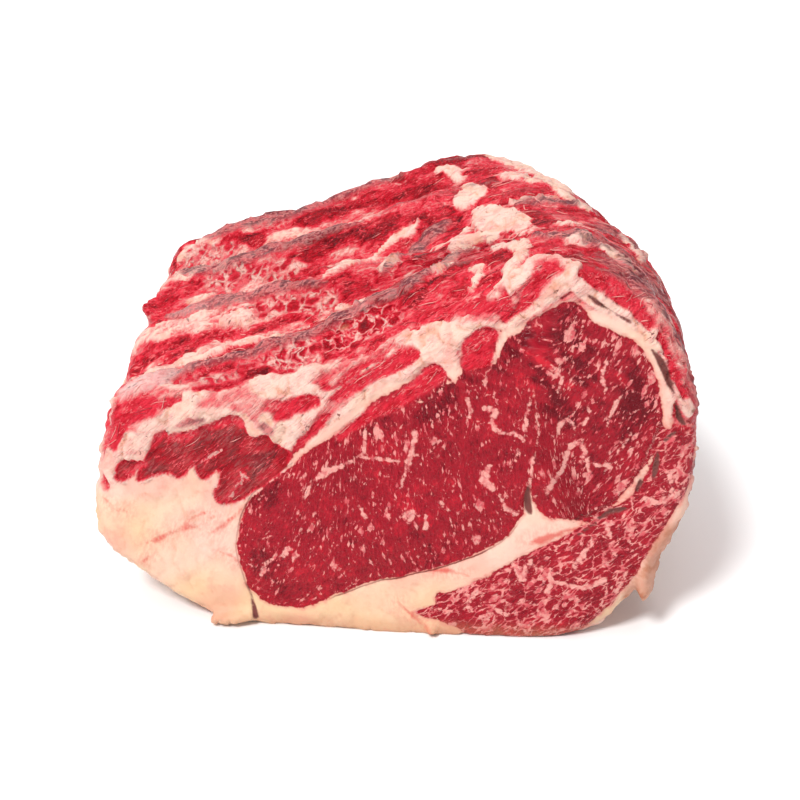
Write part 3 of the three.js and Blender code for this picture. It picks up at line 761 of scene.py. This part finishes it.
# The run of the fibres: the marbling is drawn in these coordinates, short across the fibres and long along
# them. The eye's fibres stand almost upright, those right of its seam and of the cap lean over.
SEAM_TOP = (63, 112)
LEFT_MIDDLE = (-32, 42)
right_of_seam = ease(-8, 8, x - 64 + 0.35 * np.minimum(z - 112, 0))
in_cap = cap_depth > -3
left_turn = np.radians(30 * ease(5, -45, x))
gx, gz = cut_place[:, 0] - LEFT_MIDDLE[0], cut_place[:, 1] - LEFT_MIDDLE[1]
gx, gz = gx * np.cos(left_turn) - gz * np.sin(left_turn), gx * np.sin(left_turn) + gz * np.cos(left_turn)
tilt = np.radians(np.where(in_cap, 52, -8 + 38 * right_of_seam))
px, pz = gx + LEFT_MIDDLE[0] - SEAM_TOP[0], gz + LEFT_MIDDLE[1] - SEAM_TOP[1]
across_fibres = px * np.cos(tilt) - pz * np.sin(tilt)
along_fibres = px * np.sin(tilt) + pz * np.cos(tilt)
cut_grain = np.column_stack([across_fibres, 0.42 * along_fibres, 0.6 * y])

marbling = (1 - mantle) * ease(-2, 1, np.maximum(eye_depth, cap_depth)) * (1 - 0.3 * unevenness(20, 45.0))
marbling *= 1 + 0.35 * right_of_seam * (1 - in_cap)
marbling = np.maximum(marbling, 0.35)
netted = (1 - mantle) * in_cap * (1 - 0.5 * ease(0, 0.5, unevenness(12, 46.0)))
tone = 0.55 * unevenness(19, 41.0) + 0.4 * unevenness(7, 42.0) - 0.1 * in_cap
# Painted light: the eye's lean is painted brighter on the ridges of the knife's furrows and darker in their
# grooves.
tone += 0.6 * furrows + 2.2 * top_furrows
tone -= (1 - mantle) * (1.0 * ease(-4, 2.5, eye_dark + 4 * edge_wander) - 0.15)
tone -= 0.35 * (1 - mantle) * right_of_seam * (1 - in_cap)
yellow = (1 - mantle) * np.maximum(ease(34, 8, z), 0.7 * ease(-70, -100, x) * ease(62, 50, z))
yellow = np.clip(yellow + mantle * fat_side * ease(-0.3, 0.5, patches) + 0.5 * patches, 0, 1)


def cut_only(depth):
    """The depth on the cuts, and far outside on the rest of the skin."""
    return depth * (1 - mantle) - FAR_OFF * mantle


edge_crack = ease(54, 50, z) * ease(62, 58, x) * ease(-22, -15, x)
edge_crack += ease(-32, -36, x) * ease(12, 18, z) * ease(76, 72, z) * (0.45 + 0.55 * ease(44, 50, z))
edge_crack = np.clip(edge_crack, 0, 1) * (1 - mantle)

for name, values in {
    "lean": lean,
    "marbling": marbling,
    "netted": netted,
    "stain": np.clip(cut_only(strokes_depth(cut_place, STAINS)), -FAR_OFF, FAR_OFF),
    "tone": np.clip(tone, -1.5, 1.5),
    "yellow": yellow,
    "silver": silver,
    "painted_groove_shade": painted_groove_shade,
    "honeycomb": honeycomb,
    "pit": pit,
    "chine": chine_side * mantle,
    "slow": unevenness(22, 51.0),
    "gap": np.maximum(cut_gap, cut_crack),
    "vein": cut_only(vein_depth),
    "eye_edge": cut_only(eye_depth),
    "edge_crack": edge_crack,
    "pale_end": pale_ends * mantle,
    "crease": creases,
    "tan": np.maximum(hanging_flap, 0.6 * (1 - mantle) * ease(9, 2, z)),
    "torn": all_torn,
    "wild": np.maximum(mantle, 0.45),
}.items():
    stored = skin.attributes.new(name, "FLOAT", "POINT")
    stored.data.foreach_set("value", values.astype(np.float32))
for name, vectors in {"grain": cut_grain, "strands": strands, "chine_strands": chine_strands}.items():
    stored = skin.attributes.new(name, "FLOAT_VECTOR", "POINT")
    stored.data.foreach_set("vector", vectors.astype(np.float32).ravel())

# Raw beef: dark red lean with pinkish white marbling, cream to yellow fat, grey-mauve silverskin. Wet, so
# it takes soft highlights, and the light goes a little way into it.


class Signal:
    """A number, colour or place inside a material. Sums and products of signals make nodes of their own."""

    def __init__(self, recipe, socket):
        self.recipe = recipe
        self.socket = socket

    def __add__(self, other):
        return self.recipe.math("ADD", self, other)

    def __sub__(self, other):
        return self.recipe.math("SUBTRACT", self, other)

    def __rsub__(self, other):
        return self.recipe.math("SUBTRACT", other, self)

    def __mul__(self, other):
        return self.recipe.math("MULTIPLY", self, other)

    def __abs__(self):
        return self.recipe.math("ABSOLUTE", self)

    __radd__ = __add__
    __rmul__ = __mul__


class Recipe:
    """A material's nodes, put together by short calls."""

    def __init__(self, name):
        self.material = bpy.data.materials.new(name)
        self.material.use_nodes = True
        self.tree = self.material.node_tree
        self.shader = self.tree.nodes["Principled BSDF"]

    def plug(self, socket, value):
        if isinstance(value, Signal):
            self.tree.links.new(value.socket, socket)
        else:
            socket.default_value = value

    def node(self, kind, inputs, output=0, **settings):
        made = self.tree.nodes.new("ShaderNode" + kind)
        for name, value in settings.items():
            setattr(made, name, value)
        for name, value in inputs.items():
            self.plug(made.inputs[name], value)
        return Signal(self, made.outputs[output])

    def attribute(self, name, output="Fac"):
        return self.node("Attribute", {}, output, attribute_name=name)

    def math(self, operation, *values):
        return self.node("Math", dict(enumerate(values)), operation=operation)

    def most(self, first, *others):
        for other in others:
            first = self.math("MAXIMUM", first, other)
        return first

    def step(self, low, high, value, to_low=0.0, to_high=1.0):
        """to_low below low, to_high above high, smooth between."""
        ends = {"From Min": low, "From Max": high, "To Min": to_low, "To Max": to_high}
        return self.node("MapRange", {"Value": value, **ends}, interpolation_type="SMOOTHSTEP")

    def noise(self, vector, scale, detail=3.0, roughness=0.55, distortion=0.0, output="Fac"):
        sizes = {"Scale": scale, "Detail": detail, "Roughness": roughness, "Distortion": distortion}
        return self.node("TexNoise", {"Vector": vector, **sizes}, output)

    def cells(self, vector, scale):
        """How far a place is from its cell's middle, and each cell's own number from 0 to 1."""
        far = self.node("TexVoronoi", {"Vector": vector, "Scale": scale}, distance="MANHATTAN")
        own = Signal(self, far.socket.node.outputs["Color"])
        return far, self.node("SeparateColor", {"Color": own})

    def cell_walls(self, vector, scale):
        return self.node("TexVoronoi", {"Vector": vector, "Scale": scale}, feature="DISTANCE_TO_EDGE")

    def ramp(self, value, stops):
        """The colours one after another, each at its own value."""
        low, high = stops[0][0], stops[-1][0]
        share = self.node("MapRange", {"Value": value, "From Min": low, "From Max": high})
        picked = self.node("ValToRGB", {"Fac": share}, "Color")
        steps = picked.socket.node.color_ramp.elements
        while len(steps) < len(stops):
            steps.new(0.5)
        for step, (at_value, its_colour) in zip(steps, stops):
            step.position = (at_value - low) / (high - low)
            step.color = its_colour
        return picked

    def mix(self, share, a, b):
        """Colour a, turning into colour b as the share grows."""
        return self.node("Mix", {"Factor": share, "A": a, "B": b}, "Result", data_type="RGBA")

    def blend(self, share, a, b):
        """Number a, turning into number b as the share grows."""
        return self.node("Mix", {"Factor": share, "A": a, "B": b})

    def scaled(self, vector, scale):
        return self.node("VectorMath", {0: vector, 1: scale}, operation="MULTIPLY")

    def added(self, a, b):
        return self.node("VectorMath", {0: a, 1: b}, operation="ADD")

    def bump(self, height, distance, strength):
        return self.node("Bump", {"Height": height, "Distance": distance, "Strength": strength})


def colour(red, green, blue):
    """A colour as a screen shows it, 0 to 255, as the light that Blender works with."""
    shown = (red, green, blue)
    return tuple(((c / 255 + 0.055) / 1.055) ** 2.4 if c > 10 else c / 3295 for c in shown) + (1,)


LEAN_DARK = colour(104, 8, 22)
LEAN = colour(157, 22, 38)
LEAN_BRIGHT = colour(200, 34, 50)
MARBLE_PINK = colour(212, 92, 98)
MARBLE_WHITE = colour(238, 168, 158)
BLOOD = colour(206, 70, 62)
FAT_CREAM = colour(229, 193, 175)
FAT_YELLOW = colour(226, 189, 152)
FAT_PINK = colour(220, 141, 127)
SILVER_LIGHT = colour(186, 126, 122)
SILVER_DARK = colour(96, 50, 56)
SILVER_PALE = colour(216, 178, 172)
GAP_BROWN = colour(120, 66, 62)
FAT_TAN = colour(182, 116, 88)
CRACK_RED = colour(110, 40, 34)
CREASE_SHADE = colour(206, 138, 110)
REDNESS = [
    (-3.0, colour(229, 190, 176)),
    (-1.9, colour(225, 171, 161)),
    (-0.9, colour(217, 130, 125)),
    (0.0, colour(214, 88, 94)),
    (1.0, colour(210, 42, 60)),
    (2.3, colour(176, 14, 32)),
    (3.6, colour(138, 8, 22)),
    (5.0, colour(96, 5, 16)),
]

beef = Recipe("raw beef")
at = beef.node("TexCoord", {}, "Object")
grain_at = beef.attribute("grain", "Vector")
torn = beef.attribute("torn")
slow = beef.attribute("slow")
stained = beef.attribute("stain")
yellowed = beef.attribute("yellow")
silvered = beef.attribute("silver")
combed = beef.attribute("honeycomb")
pitted = beef.attribute("pit")
fine = beef.noise(at, 420, 2)
wisps = beef.noise(at, 160, 3, 0.6)
run = beef.noise(grain_at, 0.9, 3, 0.6)


def strand_noise(scale, detail, roughness):
    """Noise drawn out along the strands of the rib side or the chine side."""
    on_rib_side = beef.noise(beef.attribute("strands", "Vector"), scale, detail, roughness)
    on_chine = beef.noise(beef.attribute("chine_strands", "Vector"), scale, detail, roughness)
    return beef.blend(beef.attribute("chine"), on_rib_side, on_chine)


bands = strand_noise(0.42, 3, 0.62)
threads_apart = strand_noise(1.3, 2, 0.6)

ragged = 3.0 * wisps + 1.6 * fine - 2.3
lean_depth = beef.attribute("lean") + ragged
is_lean = beef.step(-0.3, 0.35, lean_depth)

# Marbling: short flecks along the fibres in three sizes, broken threads between them, the larger veins, and
# in the cap a net of fat that parts the lean into small cells.
amount = beef.attribute("marbling")
sway = beef.scaled(beef.noise(grain_at, 0.22, 1, output="Color"), (5.0, 1.6, 1.0))
kinks = beef.scaled(beef.noise(grain_at, 1.1, 1, output="Color"), (1.5, 0.6, 0.5))
bent = beef.added(beef.added(grain_at, sway), kinks)
crowding = beef.step(-0.5, 0.5, slow, 0.8, 1.2) * amount
inside = []
for scale, least, reach in ((0.26, 0.36, 0.48), (0.45, 0.36, 0.48), (0.8, 0.5, 0.45)):
    far, own = beef.cells(bent, scale)
    inside.append(beef.step(least, 1.0, own, 0.0, reach) * crowding - far)
flecks = beef.step(-0.05, 0.09, beef.most(*inside))
thread = abs(beef.noise(bent, 0.16, 1, 0.4) - 0.5)
thread_edge = 0.03 * beef.step(0.45, 0.7, run) * amount
threads = beef.step(-0.002, 0.012, thread_edge - thread, 0.0, 0.8)
net_edge = beef.attribute("netted") * beef.step(0.36, 0.7, wisps, 0.0, 0.17)
netting = beef.step(-0.02, 0.05, net_edge - beef.cell_walls(bent, 0.38))
veins = beef.step(-0.4, 0.4, beef.attribute("vein") + 2.0 * wisps + 2.8 * fine - 2.4)
marble = beef.most(flecks, threads, netting, veins)

tone_here = beef.attribute("tone") + 3.8 * run + 2.8 * wisps - 3.3
lean_colour = beef.mix(beef.step(-1.6, 0.1, tone_here), LEAN_DARK, LEAN)
lean_colour = beef.mix(beef.step(0.1, 1.7, tone_here), lean_colour, LEAN_BRIGHT)
marble_pale = 0.4 * veins + beef.step(0.38, 0.62, fine, 0.0, 0.8)
marble_colour = beef.mix(marble_pale, MARBLE_PINK, MARBLE_WHITE)
lean_colour = beef.mix(0.9 * marble, lean_colour, marble_colour)

fat_colour = beef.mix(yellowed, FAT_CREAM, FAT_YELLOW)
blush = beef.step(0.0, 0.5, slow, 0.0, 0.35) + beef.step(-1.6, 0.0, lean_depth, 0.0, 0.6)
fat_colour = beef.mix(blush + beef.step(0.5, 0.75, wisps, 0.0, 0.3), fat_colour, FAT_PINK)
haze = beef.step(-8.0, 0.5, stained, 0.0, 0.5) * beef.step(0.35, 0.65, run)
fat_colour = beef.mix(haze, fat_colour, FAT_PINK)
fat_colour = beef.mix(beef.step(-0.9, 1.0, stained + 0.9 * ragged, 0.0, 0.75), fat_colour, BLOOD)
cut_colour = beef.mix(is_lean, fat_colour, lean_colour)

# Torn places go from bare fat through pink films to deep red, in streaks along the strands. The honeycomb
# has pale walls round pits of different reds, and grey silverskin lies over both.
redness = (6.5 * bands + 5.0 * threads_apart - 5.75) * beef.attribute("wild") + lean_depth
sinews = beef.step(0.03, 0.0, abs(bands - 0.54), 0.0, 0.75) * beef.step(0.42, 0.56, wisps)
redness = beef.blend(beef.most(sinews, veins), redness, -1.5)
comb_at = beef.added(at, beef.scaled(beef.noise(at, 150, 2, output="Color"), (0.011, 0.011, 0.011)))
comb_wall = beef.cell_walls(beef.scaled(comb_at, (1.0, 0.8, 0.8)), 185)
wall_redness = beef.step(0.4, 0.64, wisps, -2.0, 0.0)
pit_redness = pitted + 5.0 * wisps - 2.5 + beef.step(0.1, 0.45, comb_wall, -1.0, 0.8)
comb_redness = beef.step(0.0, 0.24, comb_wall + 0.4 * fine + 0.04 * pitted - 0.3, wall_redness, pit_redness)
redness = beef.blend(combed, redness, comb_redness)
torn_colour = beef.ramp(redness, REDNESS)
is_bare = beef.step(-1.6, -2.7, redness)
torn_colour = beef.mix(yellowed * is_bare, torn_colour, FAT_YELLOW)
flush = beef.step(0.5, 0.66, beef.noise(at, 110, 3, 0.6)) * is_bare
torn_colour = beef.mix(0.55 * flush, torn_colour, FAT_PINK)
hair = beef.step(0.009, 0.003, abs(beef.noise(at, 75, 2, 0.5, 0.6) - 0.5)) * beef.step(0.54, 0.6, wisps)
torn_colour = beef.mix(hair * is_bare, torn_colour, GAP_BROWN)

silver_streak = 0.4 * bands + 0.6 * threads_apart
silver_colour = beef.mix(beef.step(0.45, 0.55, silver_streak), SILVER_DARK, SILVER_LIGHT)
paler = beef.attribute("pale_end") * beef.step(0.2, 0.4, bands)
silver_colour = beef.mix(paler, silver_colour, SILVER_PALE)
torn_colour = beef.mix(silvered * beef.step(0.35, 0.65, bands, 0.95, 0.55), torn_colour, silver_colour)
surface = beef.mix(torn, cut_colour, torn_colour)

# Over all of it: painted shade in the creases of bare fat, the dark line round parts of the eye, the dried
# flap, brown gaps between muscles, and painted shade in the grooves of the torn side.
off_edge = abs(beef.attribute("eye_edge") + 1.2 * wisps - 0.1)
edge_line = beef.step(0.5, 0.1, off_edge) * beef.attribute("edge_crack")
edge_line *= beef.step(-0.3, 0.3, slow, 0.35, 0.9)
for share, tint in (
    (beef.attribute("crease") * beef.step(0.4, 0.6, wisps, 0.35, 0.8), CREASE_SHADE),
    (edge_line, CRACK_RED),
    (beef.attribute("tan") * beef.step(0.3, 0.6, wisps, 1.0, 0.6), FAT_TAN),
    (beef.step(-0.5, 0.4, beef.attribute("gap") + 0.4 * ragged), GAP_BROWN),
    (beef.attribute("painted_groove_shade") * beef.step(0.35, 0.6, wisps, 0.9, 0.2), LEAN_DARK),
):
    surface = beef.mix(share, surface, tint)
beef.plug(beef.shader.inputs["Base Color"], surface)

FAT_ROUGHNESS = 0.5
wetness = beef.step(0.35, 0.65, wisps, 0.16, 0.42)
beef.plug(beef.shader.inputs["Roughness"], beef.blend(is_lean, FAT_ROUGHNESS, wetness))
for name, value in {
    "Specular IOR Level": 0.14,
    "Subsurface Weight": 0.12,
    "Subsurface Radius": (1.0, 0.25, 0.15),
    "Subsurface Scale": 0.004,
}.items():
    beef.shader.inputs[name].default_value = value

# The fine relief, in millimetres: strands and threads in torn places, fibres on the cut, dimples all over,
# and the pits of the honeycomb. It is a bump on the shader, because it is finer than the mesh.
RELIEF_UNIT = 0.001
torn_height = 3.0 * bands + 1.4 * threads_apart - 2.2
heights = (torn - 0.45 * silvered) * (1 - 0.5 * is_bare) * torn_height
heights += (2.0 * run - 1.0) * is_lean * (1 - torn)
heights += 0.9 * wisps + 0.25 * fine
heights += combed * beef.step(0.0, 0.3, comb_wall, 0.8, -0.8)
beef.plug(beef.shader.inputs["Normal"], beef.bump(heights, RELIEF_UNIT, 0.8))
skin.materials.clear()
skin.materials.append(beef.material)

roast = placed("ribeye_roast_skin", skin)
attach(roast, "root")
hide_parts("ribeye_roast")

# Loose sinew threads: thin pale pink strings of connective tissue that the boning knife pulled up. They lie
# on the torn meat of the rib side, the chine side and the trim, and follow its surface along the strands.
THREADS = 380
THREAD_STEP = 1.3
THREAD_HALF_WIDTH = 0.2
THREAD_LIFT = 0.12
THREAD_SIDES = 5
WIDTH_RANGE = (0.6, 1.4)
STEPS_RANGE = (3, 9)
FIRST_STRAY = 0.25
STEP_STRAY = 0.12

corners = np.empty(len(skin.loops), np.int32)
skin.loops.foreach_get("vertex_index", corners)
surface_tree = BVHTree.FromPolygons((place / 1000).tolist(), corners.reshape(-1, 4).tolist())
chance = np.random.default_rng(23)


def strand_way(index):
    """The way the strands run at a vertex of the skin."""
    if in_trim[index] * (1 - mantle[index]) > 0.5:
        return Vector((math.cos(RISE), 0, math.sin(RISE)))
    if chine_side[index] > 0.5:
        return Vector((CORE_HEIGHT - z[index], -20, x[index])).normalized()
    strip = STRIPS[int(np.clip(rib_place[index], 0, 3))]
    slope = np.polyder(np.polyfit(STRIPS_ACROSS, strip, 2))
    return Vector((1, float(np.polyval(slope, across[index])), 0.1))


ragged_meat = np.maximum(mantle * (1 - fat_side), torn_cut) > 0.8
torn_here = np.flatnonzero(ragged_meat & (lean > -1.5) & (honeycomb < 0.3))
points, radii, pales, links = [], [], [], []
for start in chance.choice(torn_here, THREADS, replace=False):
    way = strand_way(start) + Vector(chance.normal(0, FIRST_STRAY, 3))
    way.normalize()
    count = int(chance.integers(*STEPS_RANGE))
    pale = chance.random() if lean[start] > 0.6 else chance.uniform(0.6, 1.0)
    width = chance.uniform(*WIDTH_RANGE)
    spot = Vector(place[start] / 1000)
    for step in range(count):
        found, normal, _, _ = surface_tree.find_nearest(spot)
        points.append(found + normal * THREAD_LIFT / 1000)
        radii.append(width * math.sin(math.pi * (step + 0.4) / count) ** 0.6)
        pales.append(pale)
        if step:
            links.append((len(points) - 2, len(points) - 1))
        way = (way - normal * way.dot(normal) + Vector(chance.normal(0, STEP_STRAY, 3))).normalized()
        spot = found + way * THREAD_STEP / 1000

paths = bpy.data.meshes.new("sinew_paths")
paths.from_pydata(points, links, [])
paths.attributes.new("width", "FLOAT", "POINT").data.foreach_set("value", radii)
paths.attributes.new("pale", "FLOAT", "POINT").data.foreach_set("value", pales)

tree = bpy.data.node_groups.new("sinew threads", "GeometryNodeTree")
tree.interface.new_socket("Geometry", in_out="INPUT", socket_type="NodeSocketGeometry")
size_input = tree.interface.new_socket("Half width", in_out="INPUT", socket_type="NodeSocketFloat")
tree.interface.new_socket("Geometry", in_out="OUTPUT", socket_type="NodeSocketGeometry")
given = tree.nodes.new("NodeGroupInput").outputs


def grow(kind, output, inputs):
    """The named output of a new node in the threads' tree, which has these inputs."""
    made = tree.nodes.new("GeometryNode" + kind)
    for name, value in inputs.items():
        if isinstance(value, bpy.types.NodeSocket):
            tree.links.new(value, made.inputs[name])
        else:
            made.inputs[name].default_value = value
    return made.outputs[output]


line = grow("MeshToCurve", "Curve", {"Mesh": given["Geometry"]})
width = grow("InputNamedAttribute", "Attribute", {"Name": "width"})
profile = grow("CurvePrimitiveCircle", "Curve", {
    "Resolution": THREAD_SIDES,
    "Radius": given["Half width"],
})
tubes = grow("CurveToMesh", "Mesh", {
    "Curve": line,
    "Profile Curve": profile,
    "Scale": width,
    "Fill Caps": True,
})
smooth = grow("SetShadeSmooth", "Geometry", {"Geometry": tubes})
whole = grow("RealizeInstances", "Geometry", {"Geometry": smooth})

# The sinew's material: a wet string. It goes from pale pink to raw red from one thread to the next, and is a
# little frayed along its length.
SINEW_RED = colour(170, 24, 40)
SINEW_PALE = colour(226, 150, 142)
FRAY_HEIGHT = 0.0003

sinew = Recipe("sinew")
fray = sinew.noise(sinew.node("TexCoord", {}, "Object"), 900, 2)
paleness = sinew.step(0.25, 0.75, sinew.attribute("pale") + 0.8 * fray - 0.4)
string_colour = sinew.mix(paleness, SINEW_RED, SINEW_PALE)
sinew.plug(sinew.shader.inputs["Base Color"], string_colour)
sinew.shader.inputs["Roughness"].default_value = 0.3
sinew.plug(sinew.shader.inputs["Normal"], sinew.bump(fray, FRAY_HEIGHT, 0.6))
dressed = grow("SetMaterial", "Geometry", {"Geometry": whole, "Material": sinew.material})
tree.links.new(dressed, tree.nodes.new("NodeGroupOutput").inputs["Geometry"])

half_width = (size_input.identifier, THREAD_HALF_WIDTH / 1000)
threads_mesh = with_modifier(paths, "NODES", [half_width], node_group=tree)
threads_mesh.name = "sinew_threads"
strings = placed("sinew_threads", threads_mesh)
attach(strings, "root")
